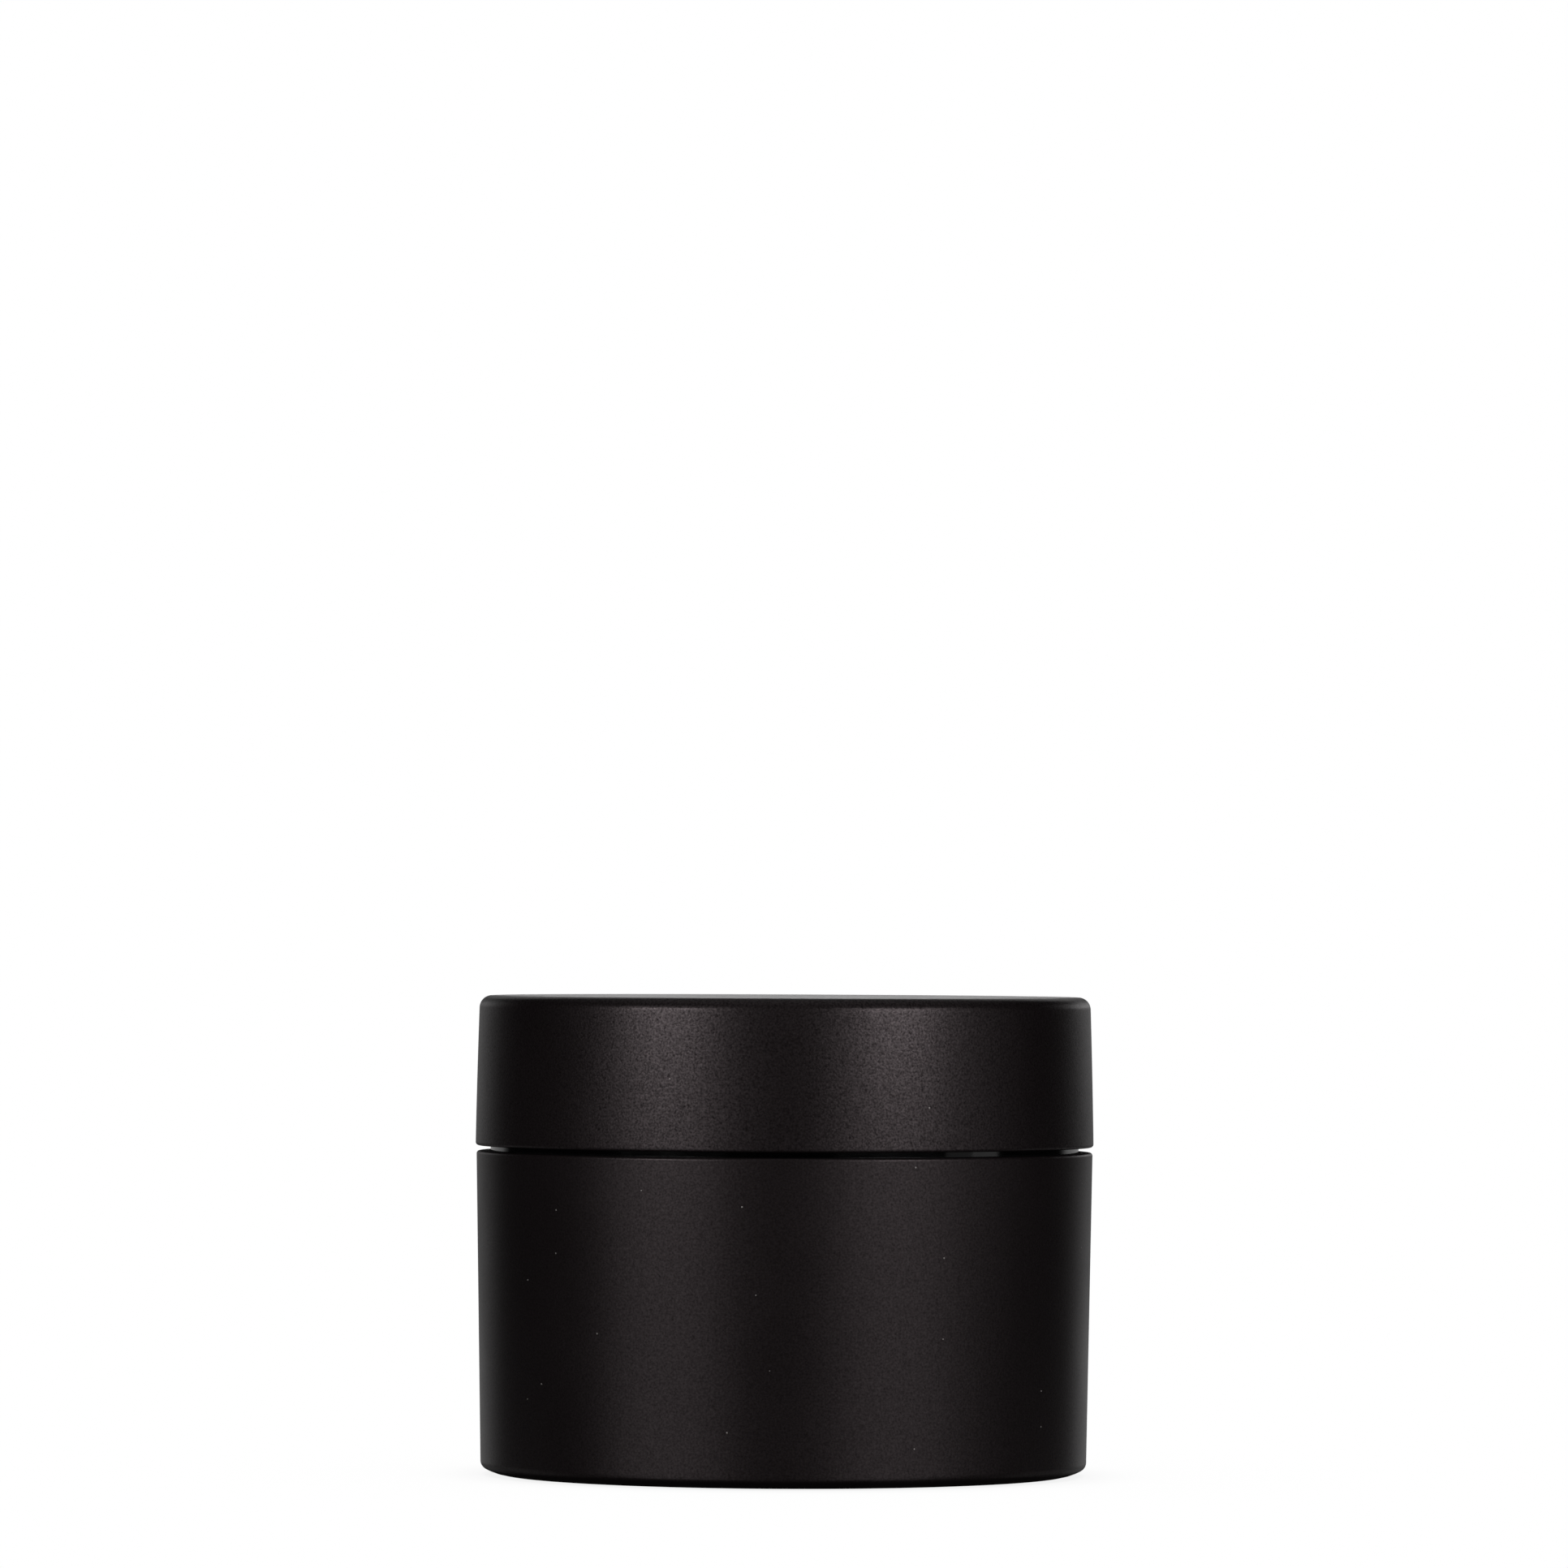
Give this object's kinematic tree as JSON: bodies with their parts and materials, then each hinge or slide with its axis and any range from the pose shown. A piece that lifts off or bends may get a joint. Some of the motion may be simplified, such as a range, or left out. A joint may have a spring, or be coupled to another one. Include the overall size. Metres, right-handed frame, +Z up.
{
  "type": "double-wall screw-lid jar",
  "caption": "Round matte black double-wall moulded jar with a threaded inner cup, a plug-in sealing disc and a screw lid, for poured candle wax, soap or balm.",
  "frame": {"origin": "centre of the foot ring, on the table plane", "axes": "+Z up along the jar's axis, out through the lid; -Y faces the viewer and +X is to their right"},
  "size_m": [0.088, 0.088, 0.068],
  "materials": {
    "matte_black": "black polypropylene with a fine soft-touch grain",
    "gloss_black": "black polypropylene straight from a polished mould",
    "natural_white": "natural polyethylene, slightly milky, satin",
    "liner_foam": "fine closed-cell foam sheet with a skinned face"
  },
  "bodies": {
    "jar": {"outer_jar": "matte_black", "inner_cup": "gloss_black", "sealing_disc": "natural_white"},
    "liner": {"lid_liner": "liner_foam"},
    "lid": {"lid_insert": "gloss_black", "lid_shell": "matte_black"}
  },
  "joints": [
    {"name": "lid_rise", "type": "slide", "parent": "jar", "child": "liner", "axis": [0, 0, 1], "range_m": [0, 0.024]},
    {"name": "lid_turn", "type": "hinge", "parent": "liner", "child": "lid", "pos_m": [0, 0, 0.04668], "axis": [0, 0, 1], "range_deg": [0, 720]}
  ],
  "couplings": [
    {"joint": "lid_rise", "follows": "lid_turn", "m_per_rad": 0.0019099}
  ]
}
